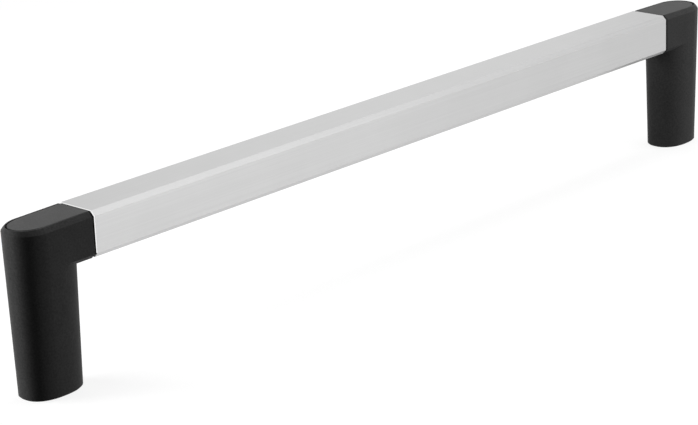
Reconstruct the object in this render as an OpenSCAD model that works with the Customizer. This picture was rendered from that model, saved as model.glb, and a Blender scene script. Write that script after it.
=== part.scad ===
// Bow pull handle: a hollow aluminium bar between two moulded legs, each closed by a snap-in cap.
// X runs along the bar and Z up from the mounting face. The origin lies midway between the two feet.

/* [Handle] */
// Distance between the two mounting holes
hole_spacing = 350; // [200:1:600]
// Height of the bar's top above the mounting face
handle_height = 59.2; // [52:0.1:80]

/* [Grip bar] */
// Width of the bar
bar_w = 18.1; // [17:0.1:22]
// Height of the bar's section
bar_h = 16.1; // [14.5:0.1:20]
// Wall of the hollow bar
bar_wall = 2.2; // [1.8:0.1:3]
// Width of the flat that breaks each long edge, measured along the face
edge_flat = 1.6; // [0.8:0.1:2]
// Break of the edges round the sawn ends
bar_end_edge = 0.2; // [0.1:0.05:0.5]

/* [Legs] */
// Distance from a mounting hole to the end of the bar
arm_reach = 16.4; // [15:0.1:24]
// Length of the oval post just under the arm
post_l = 24.8; // [23:0.1:29]
// Squareness of the oval, where 2 is an ellipse
oval_squareness = 2.33; // [2:0.01:2.8]
// Draft of the post on each side, in degrees
post_draft = 1.2; // [0.5:0.1:2]
// Break of the edge round the foot
foot_edge = 0.4; // [0.2:0.1:0.8]
// Step from the bar's top down to the leg's top
leg_drop = 0.1; // [0:0.05:0.6]
// How much lower the leg's top lies at its outer end
leg_fall = 0.4; // [0:0.05:0.8]
// Shadow gap between the bar and the leg
shadow_gap = 0.5; // [0.2:0.05:0.8]
// Break of the arm's edges at the shadow gap
seam_edge = 0.4; // [0.2:0.05:0.8]
// How far the outer end of the leg leans in at its top edge
end_flat = 0.9; // [0.6:0.1:1.6]
// How far that leaning end bulges at half its height
end_bulge = 0.2; // [0:0.05:0.3]
// Wall of the moulded leg
leg_wall = 3; // [2.4:0.1:3.2]

/* [Tongue] */
// Length of the tongue inside the bar
tongue_l = 30; // [20:1:50]
// Clearance between tongue and bar
tongue_clear = 0.15; // [0.1:0.05:0.3]
// Width of the ribs that grip the bar
grip_rib_w = 1; // [0.6:0.1:1.6]
// Bevel that leads the tongue into the bar
tongue_lead = 1.2; // [0.6:0.1:2]

/* [Mounting hole] */
// Diameter of the hole for the mounting screw
hole_d = 6.6; // [5.5:0.1:6.8]
// Height of the screw's seat above the mounting face
seat_height = 15; // [10:0.5:20]
// Wall of the boss round the hole, seen under the foot
boss_wall = 3; // [2.4:0.1:4]

/* [Cap] */
// Thickness of the cap
cap_t = 2; // [1.6:0.1:2.6]
// Break of the cap's top edge
cap_edge = 0.1; // [0.05:0.05:0.4]
// Gap round the outer end of the cap
cap_groove = 0.8; // [0.4:0.05:1]
// Gap along the sides of the cap
cap_fit = 0.3; // [0.1:0.05:0.5]
// Flat top of the rim round the cap
rim_land = 0.2; // [0.1:0.05:0.3]
// Width of the ledge that carries the cap
cap_ledge = 1.2; // [0.8:0.1:1.5]
// Width of a snap tab
tab_w = 4; // [3:0.1:4.6]
// Thickness of a snap tab
tab_t = 1.3; // [1:0.1:1.6]
// Length of a snap tab below the cap
tab_l = 6; // [5:0.1:7]
// How far the nose of a tab reaches into the leg's wall
tab_nose = 0.5; // [0.3:0.05:0.7]
// Clearance round the tabs and their noses
tab_clear = 0.1; // [0.05:0.05:0.2]

/* [Bar screws] */
// Distance from the end of the bar to its screw
screw_inset = 14; // [10:0.5:16]
// Diameter of the screw's shank
screw_d = 3.8; // [3:0.1:4.2]
// Diameter of the countersunk head
screw_head_d = 7.4; // [6.4:0.1:7.8]
// Length of the screw
screw_l = 9.5; // [7:0.5:11]
// Clearance round the screw
screw_clear = 0.1; // [0.05:0.05:0.2]

/* [Hidden] */

$fn = 64;
oval_steps = 80;
past = 1;

axis_x = hole_spacing / 2;
bar_half_l = axis_x - arm_reach;
bar_z = handle_height - bar_h;
leg_top = handle_height - leg_drop;
rim_z = leg_top - edge_flat;
arm_end = shadow_gap - arm_reach;
top_slope = leg_fall / (post_half_l(rim_z) - arm_end);
shoulder_inset = bar_wall / 2;
tongue_inset = bar_wall + tongue_clear;
inner_flat = edge_flat / 2;

cap_z = leg_top - cap_t;
seat_half_l = post_half_l(rim_z) - end_flat - rim_land;
seat_half_w = bar_w / 2 - edge_flat - rim_land;
cap_half_l = seat_half_l - cap_groove;
cap_half_w = seat_half_w - cap_fit;
pocket_half_l = seat_half_l - cap_ledge;
pocket_half_w = seat_half_w - cap_ledge;
pocket_end = arm_end + leg_wall;
pocket_z = bar_z + leg_wall;
core_depth = seat_height - leg_wall;

tab_places = [0.25 * pocket_end, 0.75 * pocket_end];
nose_h = 2 * tab_nose;
nose_z = cap_z - tab_l + nose_h;

screw_x = bar_half_l - screw_inset;
screw_hole_d = screw_d + 2 * screw_clear;
head_h = (screw_head_d - screw_d) / 2;
recess_w = 1;
recess_l = 0.55 * screw_head_d;
recess_depth = 0.8 * head_h;

// Half sizes of the drafted post at height z. It is as wide as the bar just under the arm.
function post_half_l(z) = post_l / 2 + (z - bar_z) * tan(post_draft);
function post_half_w(z) = bar_w / 2 + (z - bar_z) * tan(post_draft);

// Points of an oval with the given half sizes, all the way round or only its outer half.
function signed_power(v, p) = sign(v) * pow(abs(v), p);
function oval_point(half_l, half_w, angle) = [
    half_l * signed_power(cos(angle), 2 / oval_squareness),
    half_w * signed_power(sin(angle), 2 / oval_squareness)
];
function oval(half_l, half_w) =
    [for (i = [0 : oval_steps - 1]) oval_point(half_l, half_w, 360 * i / oval_steps)];
function half_oval(half_l, half_w) =
    [for (i = [0 : oval_steps / 2]) oval_point(half_l, half_w, 360 * i / oval_steps - 90)];

// Plan of the cap and of its seat: straight at the bar's end and round at the outer end.
function round_ended_plan(half_l, half_w, straight_end) =
    concat([[straight_end, -half_w]], half_oval(half_l, half_w), [[straight_end, half_w]]);

// A rectangle as [y, z] points, centred on y = 0, with its corners cut at 45 degrees.
function cut_corner_section(width, low, high, low_cut, high_cut) = [
    [-width / 2 + low_cut, low],
    [width / 2 - low_cut, low],
    [width / 2, low + low_cut],
    [width / 2, high - high_cut],
    [width / 2 - high_cut, high],
    [-width / 2 + high_cut, high],
    [-width / 2, high - high_cut],
    [-width / 2, low + low_cut]
];

// The bar's section, taken in by inset on every side.
function bar_section(inset, cut) =
    cut_corner_section(bar_w - 2 * inset, bar_z + inset, handle_height - inset, cut, cut);

// A flat outline put at height z or laid along the leg's falling top, and a section put at place x.
function at_z(z, outline) = [for (p = outline) [p[0], p[1], z]];
function at_slope(z, outline) = [for (p = outline) [p[0], p[1], z - fall(p[0])]];
function at_x(x, section) = [for (p = section) [x, p[0], p[1]]];

// How much lower the leg's top lies at place x than at the arm's end.
function fall(x) = top_slope * (x - arm_end);

// The arm's section at place x, as the bar's but with its top at the leg's.
function arm_ring(x, inset) = at_x(x, cut_corner_section(
    bar_w - 2 * inset, bar_z + inset, leg_top - fall(x) - inset, edge_flat, edge_flat));

// The limits of the post at place x: the bar's width, and the flats along the leg's top.
function limit_ring(x) = at_x(x, cut_corner_section(bar_w, -past, leg_top - fall(x), 0, edge_flat));

// A solid body through a row of rings. Its sides stay whole where they are flat, or else are split in two.
module loft(rings, flat_sides) {
    steps = len(rings[0]);
    last = len(rings) - 1;
    first_face = [[for (i = [0 : steps - 1]) i]];
    last_face = [[for (i = [steps - 1 : -1 : 0]) last * steps + i]];
    sides = [
        for (k = [0 : last - 1])
            for (i = [0 : steps - 1])
                let (j = (i + 1) % steps, low = k * steps, high = low + steps)
                    for (face = flat_sides
                        ? [[high + i, high + j, low + j, low + i]]
                        : [[high + i, high + j, low + i], [high + j, low + j, low + i]])
                        face
    ];
    polyhedron([for (ring = rings) for (p = ring) p], concat(first_face, sides, last_face));
}

// A section run along X between two places.
module run_along_x(from, to, section) {
    translate([from, 0, 0])
        rotate([90, 0, 90])
            linear_extrude(to - from)
                polygon(section);
}

// The leg from outside: the oval post, held to the bar's width, and the arm with the bar's section.
module leg_outside() {
    intersection() {
        loft([
            at_z(0, oval(post_half_l(0) - foot_edge, post_half_w(0) - foot_edge)),
            at_z(foot_edge, oval(post_half_l(foot_edge), post_half_w(foot_edge))),
            at_slope(rim_z, oval(post_half_l(rim_z), post_half_w(rim_z))),
            at_slope((rim_z + leg_top) / 2,
                oval(post_half_l(rim_z) - end_flat / 2 + end_bulge, post_half_w(rim_z) - edge_flat / 2)),
            at_slope(leg_top, oval(post_half_l(rim_z) - end_flat, post_half_w(rim_z) - edge_flat))
        ], false);
        loft([limit_ring(-post_l), limit_ring(post_l)], true);
    }
    loft([
        arm_ring(arm_end, seam_edge),
        arm_ring(arm_end + seam_edge, 0),
        arm_ring(0, 0)
    ], true);
}

// The tongue inside the bar, its grip ribs, and the shoulder that the bar's end meets.
module leg_tongue() {
    tip = -arm_reach - tongue_l;
    loft([
        at_x(tip, bar_section(tongue_inset + tongue_lead, inner_flat)),
        at_x(tip + tongue_lead, bar_section(tongue_inset, inner_flat)),
        at_x(pocket_end, bar_section(tongue_inset, inner_flat))
    ], true);
    for (side = [-1, 1]) {
        for (rib = [-1, 1]) {
            grip_rib(tip + 2 * tongue_lead, side, rib);
        }
    }
    run_along_x(-arm_reach, pocket_end, cut_corner_section(
        bar_w - 2 * shoulder_inset, bar_z + shoulder_inset, cap_z, inner_flat, inner_flat));
}

// A rib on a side wall of the tongue and one on its top or floor, each reaching the bar's inner face.
module grip_rib(from, side, rib) {
    side_reach = bar_w / 2 - bar_wall;
    rise = bar_h / 2 - bar_wall;
    translate([from, side * side_reach / 2, bar_z + bar_h / 2 + rib * rise / 2]) {
        translate([0, -side_reach / 2, -grip_rib_w / 2])
            cube([-arm_reach - from, side_reach, grip_rib_w]);
        translate([0, -grip_rib_w / 2, -rise / 2])
            cube([-arm_reach - from, grip_rib_w, rise]);
    }
}

// Everything taken out of the leg from above: the cap's seat, the pocket under it and the screw's well.
module leg_hollows() {
    translate([0, 0, cap_z])
        linear_extrude(cap_t + past)
            polygon(round_ended_plan(seat_half_l, seat_half_w, arm_end - past));
    translate([0, 0, pocket_z])
        linear_extrude(cap_z - pocket_z + past)
            polygon(round_ended_plan(pocket_half_l, pocket_half_w, pocket_end));
    loft([
        at_z(seat_height, oval(post_half_l(seat_height) - leg_wall, post_half_w(seat_height) - leg_wall)),
        at_z(pocket_z + past, oval(post_half_l(pocket_z) - leg_wall, post_half_w(pocket_z) - leg_wall))
    ], false);
    window_w = tab_w + 2 * tab_clear;
    window_h = 2 * (nose_h + tab_clear);
    for (side = [0, 1]) {
        for (x = tab_places) {
            mirror([0, side, 0])
                translate([x - window_w / 2, 0, nose_z - window_h / 2])
                    cube([window_w, pocket_half_w + tab_nose + tab_clear, window_h]);
        }
    }
}

// The hollows under the foot on both sides of the screw boss.
module foot_hollows() {
    linear_extrude(2 * core_depth, center = true) {
        difference() {
            polygon(oval(post_half_l(0) - leg_wall, post_half_w(0) - leg_wall));
            circle(d = hole_d + 2 * boss_wall);
        }
    }
}

// A leg, with its mounting hole on the Z axis and its bar towards -X.
module leg() {
    color([0.13, 0.13, 0.13])
        difference() {
            union() {
                leg_outside();
                leg_tongue();
            }
            leg_hollows();
            foot_hollows();
            translate([0, 0, -past])
                cylinder(d = hole_d, h = seat_height + 2 * past);
            translate([-arm_reach - screw_inset, 0, bar_z])
                cylinder(d = screw_hole_d, h = screw_l + screw_clear);
        }
}

// A cap in place on the leg: a plate in the seat, and tabs whose noses snap into the walls.
module cap() {
    color([0.2, 0.2, 0.2]) {
        plate = round_ended_plan(cap_half_l, cap_half_w, arm_end);
        face = round_ended_plan(cap_half_l - cap_edge, cap_half_w - cap_edge, arm_end + cap_edge);
        loft([
            at_z(cap_z, plate),
            at_slope(leg_top - cap_edge, plate),
            at_slope(leg_top, face)
        ], false);
        for (side = [0, 1]) {
            for (x = tab_places) {
                mirror([0, side, 0])
                    run_along_x(x - tab_w / 2, x + tab_w / 2, tab_section());
            }
        }
    }
}

// Section of a snap tab on the +Y side: a blade rooted in the plate, with a wedge-shaped nose low down.
function tab_section() =
    let (outer = pocket_half_w - tab_clear, root_z = cap_z + cap_t / 2) [
        [outer - tab_t, root_z],
        [outer - tab_t, cap_z - tab_l],
        [outer, cap_z - tab_l],
        [outer, nose_z - nose_h],
        [pocket_half_w + tab_nose, nose_z],
        [outer, nose_z + nose_h / 2],
        [outer, root_z]
    ];

// One countersunk screw with a cross recess, its head flush with the bar's underside.
module bar_screw() {
    difference() {
        union() {
            cylinder(d1 = screw_head_d, d2 = screw_d, h = head_h);
            cylinder(d = screw_d, h = screw_l);
        }
        for (turn = [0, 90])
            rotate([0, 0, turn])
                cube([recess_l, recess_w, 2 * recess_depth], center = true);
    }
}

module grip_bar() {
    color([0.79, 0.79, 0.79])
        difference() {
            loft([
                at_x(-bar_half_l, bar_section(bar_end_edge, edge_flat)),
                at_x(bar_end_edge - bar_half_l, bar_section(0, edge_flat)),
                at_x(bar_half_l - bar_end_edge, bar_section(0, edge_flat)),
                at_x(bar_half_l, bar_section(bar_end_edge, edge_flat))
            ], true);
            run_along_x(-bar_half_l - past, bar_half_l + past, bar_section(bar_wall, inner_flat));
            for (side = [-1, 1]) {
                translate([side * screw_x, 0, bar_z]) {
                    cylinder(d1 = screw_head_d + 2 * screw_clear, d2 = screw_hole_d, h = head_h);
                    translate([0, 0, -past])
                        cylinder(d = screw_hole_d, h = bar_wall + 2 * past);
                }
            }
        }
}

module right_leg() { translate([axis_x, 0, 0]) leg(); }
module left_leg() { mirror([1, 0, 0]) right_leg(); }
module right_cap() { translate([axis_x, 0, 0]) cap(); }
module left_cap() { mirror([1, 0, 0]) right_cap(); }

module bar_screws() {
    color([0.7, 0.7, 0.7])
        for (side = [-1, 1])
            translate([side * screw_x, 0, bar_z])
                bar_screw();
}

grip_bar();
left_leg();
right_leg();
left_cap();
right_cap();
bar_screws();
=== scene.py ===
# %% [markdown]
# # A bow pull handle
# The handle is a straight aluminium bar between two black moulded legs, and each leg is closed by a flat
# cap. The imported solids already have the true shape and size, so this lesson adds what a solid lacks:
# smooth shading, finishes, light and a camera. Everything is in metres, with X along the bar and Z up
# from the face that the handle stands on.

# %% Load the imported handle
import math

import bpy
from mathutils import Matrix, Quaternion, Vector


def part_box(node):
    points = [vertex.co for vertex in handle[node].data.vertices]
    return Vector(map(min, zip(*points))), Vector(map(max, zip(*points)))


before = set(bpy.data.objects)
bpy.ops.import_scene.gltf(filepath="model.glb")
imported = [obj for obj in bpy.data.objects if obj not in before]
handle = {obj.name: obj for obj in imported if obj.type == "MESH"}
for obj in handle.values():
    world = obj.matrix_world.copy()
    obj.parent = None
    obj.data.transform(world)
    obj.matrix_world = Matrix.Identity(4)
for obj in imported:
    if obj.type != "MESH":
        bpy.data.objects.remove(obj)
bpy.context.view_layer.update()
MM = 0.001
print("nodes:", sorted(handle))

# %% [markdown]
# ## The camera
# The picture was taken with a long lens, from in front of the left leg and a little above the bar. A
# camera could be aimed with a Track To constraint, but here its heading, its tilt and its slight roll are
# known, so they turn it directly: first look along the view, then roll about the line of sight.

# %% Camera
LENS_MM = 126.50
SENSOR_MM = 36
NEAR_CLIP = 0.01
CAMERA_PLACE = Vector((-0.65368, -0.58689, 0.30458))
HEADING = math.radians(43.176)
TILT_DOWN = math.radians(18.234)
ROLL = math.radians(-2.279)

sight = Vector((
    math.cos(HEADING) * math.cos(TILT_DOWN),
    math.sin(HEADING) * math.cos(TILT_DOWN),
    -math.sin(TILT_DOWN),
))
camera_data = bpy.data.cameras.new("camera")
camera_data.lens = LENS_MM
camera_data.sensor_width = SENSOR_MM
camera_data.clip_start = NEAR_CLIP
camera = bpy.data.objects.new("camera", camera_data)
camera.location = CAMERA_PLACE
camera.rotation_mode = "QUATERNION"
camera.rotation_quaternion = sight.to_track_quat("-Z", "Y") @ Quaternion((0, 0, 1), ROLL)
bpy.context.scene.collection.objects.link(camera)
bpy.context.scene.camera = camera
print("camera looks along", [round(v, 3) for v in sight])

# %% [markdown]
# ## Writing shaders as sums
# Node trees are quick to draw and slow to read. A `Signal` holds one output socket, and adding or
# multiplying two of them adds the Math node in between, so a finish reads like a formula. Every node comes
# from `Finish.node`, which sets the node's options first and then its sockets.

# %% Signals


class Signal:
    """One output socket, with arithmetic that adds Math nodes."""

    def __init__(self, finish, socket):
        self.finish = finish
        self.socket = socket

    def math(self, operation, first, second=0.0):
        return self.finish.node("ShaderNodeMath", {"operation": operation}, {0: first, 1: second})

    def __add__(self, other):
        return self.math("ADD", self, other)

    def __radd__(self, other):
        return self.math("ADD", other, self)

    def __sub__(self, other):
        return self.math("SUBTRACT", self, other)

    def __rsub__(self, other):
        return self.math("SUBTRACT", other, self)

    def __mul__(self, other):
        return self.math("MULTIPLY", self, other)

    def __rmul__(self, other):
        return self.math("MULTIPLY", other, self)

    def __abs__(self):
        return self.math("ABSOLUTE", self)

    def __gt__(self, other):
        return self.math("GREATER_THAN", self, other)


print("signals ready")

# %% Node trees


class Finish:
    """A node tree, and the one method that adds nodes to it."""

    def __init__(self, tree):
        self.tree = tree
        tree.nodes.clear()

    def node(self, kind, settings=None, sockets=None, output=0):
        made = self.tree.nodes.new(kind)
        for name, value in (settings or {}).items():
            setattr(made, name, value)
        for name, value in (sockets or {}).items():
            if isinstance(value, Signal):
                self.tree.links.new(value.socket, made.inputs[name])
            else:
                made.inputs[name].default_value = value
        return Signal(self, made.outputs[output]) if made.outputs else made


print("node trees ready")

# %% [markdown]
# ## A white sweep
# The picture has a pure white ground. A floor lit until it is white would throw its light back up and
# wash out the black legs. So the floor and the world are white to the camera and to reflections, and dark
# to the soft light that bounces about. A Light Path node tells the rays apart. Near the handle the floor
# is partly an ordinary matt surface, and that part carries the shadow. Further out it fades to plain
# white, as a paper sweep does.

# %% Floor material
PLAIN_WHITE = 1.0
FLOOR_GLOW = 0.84  # how white the floor near the handle is by itself
FLOOR_SHARE = 0.2  # how pale its matt part is, which the lamps light
FLOOR_BOUNCE = 0.03  # how pale it is to the light that bounces about
FADE_START = 0.26  # metres from the middle of the handle
FADE_END = 0.5


def grey(level):
    return (level, level, level, 1)


def object_place(finish):
    return finish.node("ShaderNodeTexCoord", None, None, "Object")


def seen_directly(finish):
    """1 for camera, glossy and transmission rays, and 0 for the rest."""
    camera_ray = finish.node("ShaderNodeLightPath", None, None, "Is Camera Ray")
    glossy_ray = finish.node("ShaderNodeLightPath", None, None, "Is Glossy Ray")
    clear_ray = finish.node("ShaderNodeLightPath", None, None, "Is Transmission Ray")
    return camera_ray + glossy_ray + clear_ray


def white_floor():
    material = bpy.data.materials.new("white_floor")
    material.use_nodes = True
    finish = Finish(material.node_tree)
    matt = finish.node("ShaderNodeBsdfDiffuse", None, {"Color": grey(FLOOR_SHARE)})
    glow = finish.node("ShaderNodeEmission", None, {"Color": grey(1), "Strength": FLOOR_GLOW})
    near = finish.node("ShaderNodeAddShader", None, {0: matt, 1: glow})
    plain = finish.node("ShaderNodeEmission", None, {"Color": grey(1), "Strength": PLAIN_WHITE})
    reach = finish.node(
        "ShaderNodeVectorMath", {"operation": "LENGTH"}, {0: object_place(finish)}, "Value"
    )
    fade = finish.node(
        "ShaderNodeMapRange",
        {"interpolation_type": "SMOOTHSTEP"},
        {"Value": reach, "From Min": FADE_START, "From Max": FADE_END},
    )
    seen = finish.node("ShaderNodeMixShader", None, {0: fade, 1: near, 2: plain})
    bounce = finish.node("ShaderNodeBsdfDiffuse", None, {"Color": grey(FLOOR_BOUNCE)})
    mixed = finish.node("ShaderNodeMixShader", None, {0: seen_directly(finish), 1: bounce, 2: seen})
    finish.node("ShaderNodeOutputMaterial", None, {"Surface": mixed})
    material.cycles.emission_sampling = "NONE"
    return material


floor_material = white_floor()
print("floor fades to white from", FADE_START, "to", FADE_END, "m")

# %% Floor and world
FLOOR_SIZE = 12
AMBIENT = 0.01

half = FLOOR_SIZE / 2
floor_corners = [(-half, -half, 0), (half, -half, 0), (half, half, 0), (-half, half, 0)]
floor_mesh = bpy.data.meshes.new("floor")
floor_mesh.from_pydata(floor_corners, [], [(0, 1, 2, 3)])
floor_mesh.materials.append(floor_material)
floor = bpy.data.objects.new("floor", floor_mesh)
bpy.context.scene.collection.objects.link(floor)

world = bpy.data.worlds.new("white_world")
world.use_nodes = True
world.cycles.sampling_method = "NONE"
bpy.context.scene.world = world
sky = Finish(world.node_tree)
sky_strength = seen_directly(sky) * (PLAIN_WHITE - AMBIENT) + AMBIENT
sky_light = sky.node("ShaderNodeBackground", None, {"Color": grey(1), "Strength": sky_strength})
sky.node("ShaderNodeOutputWorld", None, {"Surface": sky_light})
print("floor and world made")

# %% [markdown]
# ## Soft lamps
# Five area lamps light the black legs, as soft boxes do in a studio: one above, one behind on the left
# that gives the round end of the near leg its pale edge, a far and a near one at the front right, and a
# weak one at the rear. None stands near the camera, so a round leg is darkest where it faces the camera.
#
# Satin metal mirrors the white room already, and strong lamps would only make it glare. So these five are
# left out of its reflections by the lamp's Ray Visibility, and three weak lamps that it does mirror tell
# the top, the flats and the sides of the bar apart.

# %% Lamps
LAMPS = {
    # name: (place, aim, width, height, watts, mirrored by metal)
    "top_box": ((0.35, 0.1, 0.9), (0.0, 0.0, 0.05), 0.5, 0.4, 5.8, False),
    "left_box": ((-0.37, 0.23, 0.12), (-0.17, 0.0, 0.03), 0.2, 0.2, 1.9, False),
    "front_box": ((1.3, -1.1, 0.4), (0.0, 0.0, 0.04), 0.5, 0.5, 12.5, False),
    "near_box": ((0.25, -0.45, 0.15), (0.1, 0.0, 0.04), 0.2, 0.2, 0.5, False),
    "rear_box": ((0.25, 0.7, 0.3), (0.0, 0.0, 0.03), 0.4, 0.4, 1.2, False),
    "high_sheen": ((0.28, -0.3, 0.52), (0.0, 0.0, 0.04), 0.3, 0.3, 0.4, True),
    "low_sheen": ((0.2, -0.6, 0.06), (-0.05, 0.0, 0.04), 0.3, 0.08, 0.55, True),
    "back_sheen": ((0.5, 0.5, 0.35), (0.1, 0.0, 0.04), 0.4, 0.4, 0.155, True),
}


def add_lamp(name, place, aim, width, height, watts, mirrored):
    data = bpy.data.lights.new(name, "AREA")
    data.shape = "RECTANGLE"
    data.size = width
    data.size_y = height
    data.energy = watts
    lamp = bpy.data.objects.new(name, data)
    lamp.location = place
    lamp.rotation_mode = "QUATERNION"
    lamp.rotation_quaternion = (Vector(aim) - Vector(place)).to_track_quat("-Z", "Y")
    lamp.visible_glossy = mirrored
    bpy.context.scene.collection.objects.link(lamp)


for lamp_name, values in LAMPS.items():
    add_lamp(lamp_name, *values)
print("lamps:", list(LAMPS))

# %% [markdown]
# ## Smooth shells
# The solids come in as loose triangles that are shaded flat, so a round leg shows narrow stripes. Shade
# Auto Smooth alone would not cure that, because loose triangles have no neighbours to blend with. A small
# Geometry Nodes group does both jobs as a modifier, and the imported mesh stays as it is: the group joins the
# triangles, shades them smooth and keeps a crease wherever two faces meet at more than a set angle.

# %% Smooth the shells
JOIN_DISTANCE = 0.002 * MM
CREASE_ANGLE = math.radians(20)


def smooth_shell():
    group = bpy.data.node_groups.new("smooth_shell", "GeometryNodeTree")
    group.is_modifier = True
    group.interface.new_socket("Geometry", in_out="INPUT", socket_type="NodeSocketGeometry")
    group.interface.new_socket("Geometry", in_out="OUTPUT", socket_type="NodeSocketGeometry")
    shell = Finish(group)
    loose = shell.node("NodeGroupInput")
    joined = shell.node(
        "GeometryNodeMergeByDistance", None, {"Geometry": loose, "Distance": JOIN_DISTANCE}
    )
    angle = shell.node("GeometryNodeInputMeshEdgeAngle", None, None, "Unsigned Angle")
    shaded = shell.node(
        "GeometryNodeSetMeshNormal",
        {"mode": "SHARPNESS"},
        {
            "Mesh": joined,
            "Remove Custom": True,
            "Edge Sharpness": angle > CREASE_ANGLE,
            "Face Sharpness": False,
        },
    )
    shell.node("NodeGroupOutput", None, {0: shaded})
    return group


shell_group = smooth_shell()
for name, piece in handle.items():
    piece.modifiers.new("smooth shell", "NODES").node_group = shell_group
    print(name, "shaded smooth up to", round(math.degrees(CREASE_ANGLE)), "degrees")

# %% [markdown]
# ## What the finishes share
# Every finish is one Principled shader. What is the same all over a piece is set on the shader itself,
# and what varies is linked to it. The variation comes from noise, which swings about one half, so `swing`
# centres it: a tone then keeps its mean when the noise gets stronger or weaker.

# %% Parts of a finish
NOISE_MEAN = 0.5


def new_finish(name, metallic, ior_level=0.5):
    """A new material with its Principled shader, ready for colours."""
    material = bpy.data.materials.new(name)
    material.use_nodes = True
    finish = Finish(material.node_tree)
    uniform = {"Metallic": metallic, "Specular IOR Level": ior_level}
    surface = finish.node("ShaderNodeBsdfPrincipled", None, uniform)
    finish.node("ShaderNodeOutputMaterial", None, {"Surface": surface})
    return material, finish, surface.socket.node


def feed(finish, skin, **signals):
    """Links signals to the shader's sockets, named with _ for each space."""
    for name, signal in signals.items():
        finish.tree.links.new(signal.socket, skin.inputs[name.replace("_", " ")])


def noise(finish, place, scale, detail):
    sockets = {"Vector": place, "Scale": scale, "Detail": detail}
    return finish.node("ShaderNodeTexNoise", None, sockets, "Fac")


def swing(noise_signal, amount):
    return (noise_signal - NOISE_MEAN) * amount


def varied_grey(finish, level):
    return finish.node("ShaderNodeCombineColor", None, {"Red": level, "Green": level, "Blue": level})


def bump(finish, height, strength, distance):
    sockets = {"Strength": strength, "Distance": distance, "Height": height}
    return finish.node("ShaderNodeBump", None, sockets)


print("parts of a finish ready")

# %% [markdown]
# ## Satin aluminium
# The bar is drawn through a die, pickled matt and anodised in its natural colour. It looks nearly flat
# grey, with hair-fine lines along its length. Noise stretched along X makes the lines, and it moves the
# colour and the roughness only a little. The saw has broken the skin at the two ends, and there the metal
# is bare and smooth. Its colour there is also painted near white, as a painted highlight along the cut edges.

# %% Satin aluminium
BAR_TONE = 0.526
BAR_ROUGHNESS = 0.46
LINE_STRETCH = (12, 2600, 2600)  # coarse along the bar, fine across it
LINE_TONE = 0.09
LINE_ROUGHNESS = 0.12
LINE_BUMP = 0.1
LINE_DEPTH = 0.02 * MM
CLOUD_SCALE = 60
CLOUD_TONE = 0.03
# Near white at the two ends: bare metal, with a painted highlight of the cut edges in the colour.
BARE_TONE = 0.95
BARE_LENGTH = 0.2 * MM
BARE_POLISH = 0.28  # how much smoother the sawn ends are


def satin_aluminium(bar_half_length):
    material, finish, skin = new_finish("satin_aluminium", 1.0)
    place = object_place(finish)
    stretched = finish.node(
        "ShaderNodeVectorMath", {"operation": "MULTIPLY"}, {0: place, 1: LINE_STRETCH}
    )
    lines = noise(finish, stretched, scale=1, detail=3)
    cloud = noise(finish, place, CLOUD_SCALE, detail=2)
    x = finish.node("ShaderNodeSeparateXYZ", None, {0: place}, "X")
    # The last part of each end is bare metal; its near-white colour there is a painted highlight.
    bare = abs(x) > bar_half_length - BARE_LENGTH
    tone = BAR_TONE + swing(lines, LINE_TONE) + swing(cloud, CLOUD_TONE)
    feed(
        finish,
        skin,
        Base_Color=varied_grey(finish, tone + bare * (BARE_TONE - tone)),
        Roughness=BAR_ROUGHNESS + swing(lines, LINE_ROUGHNESS) - bare * BARE_POLISH,
        Normal=bump(finish, lines, LINE_BUMP, LINE_DEPTH),
    )
    return material


BAR_HALF_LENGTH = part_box("grip_bar")[1].x
aluminium = satin_aluminium(BAR_HALF_LENGTH)
print("bar half length", round(BAR_HALF_LENGTH / MM, 1), "mm")

# %% [markdown]
# ## Black polyamide
# Legs and caps are glass-filled polyamide, moulded in a spark-eroded tool, so they are matt with a grain
# of a few tenths of a millimetre. One fine noise drives a Bump node for the grain, and the colour and the
# roughness follow it. Broader, fainter patches come from how the glass fibres flow. The shader's specular
# level is low, because the grain breaks up the gloss of the plastic. The caps get a paler tone than the
# legs, and that is painted light: it stands in for the light from above on their upward faces.

# %% Black polyamide
LEG_TONE = 0.04
# The caps' tone is paler than the legs': painted light from above on their tops.
CAP_TONE = 0.065
LEG_GRAIN = 0.7 * MM
CAP_GRAIN = 0.5 * MM
POLYAMIDE_GLOSS = 0.03
POLYAMIDE_ROUGHNESS = 0.48
GRAIN_TONE = 0.85  # share of the tone
GRAIN_ROUGHNESS = 0.2
GRAIN_BUMP = 0.6
GRAIN_DEPTH = 0.06 * MM
PATCH_SCALE = 120
PATCH_TONE = 0.3  # share of the tone


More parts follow.
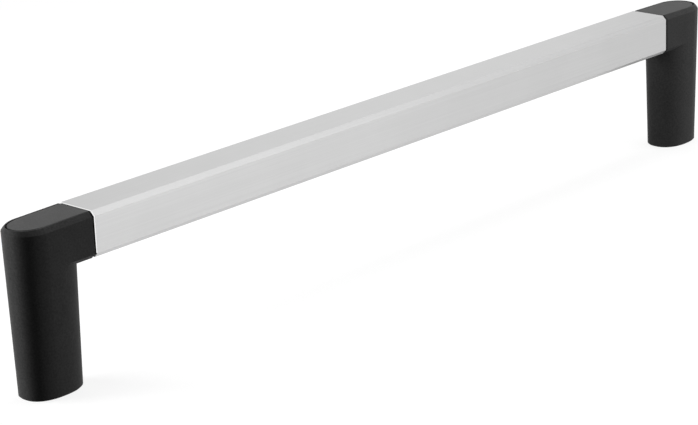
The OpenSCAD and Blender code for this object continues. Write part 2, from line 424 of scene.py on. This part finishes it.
def black_polyamide(name, tone, grain_size):
    material, finish, skin = new_finish(name, 0.0, POLYAMIDE_GLOSS)
    place = object_place(finish)
    grain = noise(finish, place, scale=1 / grain_size, detail=2)
    patches = noise(finish, place, PATCH_SCALE, detail=3)
    level = tone * (1 + swing(patches, PATCH_TONE)) * (1 + swing(grain, GRAIN_TONE))
    feed(
        finish,
        skin,
        Base_Color=varied_grey(finish, level),
        Roughness=POLYAMIDE_ROUGHNESS + swing(grain, GRAIN_ROUGHNESS),
        Normal=bump(finish, grain, GRAIN_BUMP, GRAIN_DEPTH),
    )
    return material


leg_polyamide = black_polyamide("black_polyamide", LEG_TONE, LEG_GRAIN)
# The caps' finish carries painted light from above in its paler tone.
cap_polyamide = black_polyamide("cap_polyamide", CAP_TONE, CAP_GRAIN)
print("made", leg_polyamide.name, "and", cap_polyamide.name)

# %% [markdown]
# ## Plated screws
# The two screws under the bar are zinc plated: bright steel that the bath has left slightly blotched. A
# plain metal shader would look like chrome, so one noise moves its colour and its roughness together, and
# the paler blotches are the duller ones.

# %% Plated steel
STEEL_TONE = 0.58
STEEL_ROUGHNESS = 0.32
BLOTCH_SCALE = 700
BLOTCH_TONE = 0.16
BLOTCH_ROUGHNESS = 0.2


def plated_steel():
    material, finish, skin = new_finish("plated_steel", 1.0)
    blotch = noise(finish, object_place(finish), BLOTCH_SCALE, detail=3)
    feed(
        finish,
        skin,
        Base_Color=varied_grey(finish, STEEL_TONE + swing(blotch, BLOTCH_TONE)),
        Roughness=STEEL_ROUGHNESS + swing(blotch, BLOTCH_ROUGHNESS),
    )
    return material


steel = plated_steel()
print("made", steel.name)

# %% [markdown]
# ## Dress the pieces
# A finish could be made for each piece, but the two legs are moulded from the same plastic, and so are the
# two caps. Each pair shares a material, so a change to it shows on both ends.

# %% Give every piece its finish
FINISHES = {
    "grip_bar": aluminium,
    "left_leg": leg_polyamide,
    "right_leg": leg_polyamide,
    "left_cap": cap_polyamide,
    "right_cap": cap_polyamide,
    "bar_screws": steel,
}
for name, material in FINISHES.items():
    for slot in handle[name].material_slots:
        slot.material = material
    print(name, "wears", material.name)

# %% [markdown]
# ## Finish
# The colours are shown as they are computed, with the Standard view transform.

# %% View transform
bpy.context.scene.view_settings.view_transform = "Standard"
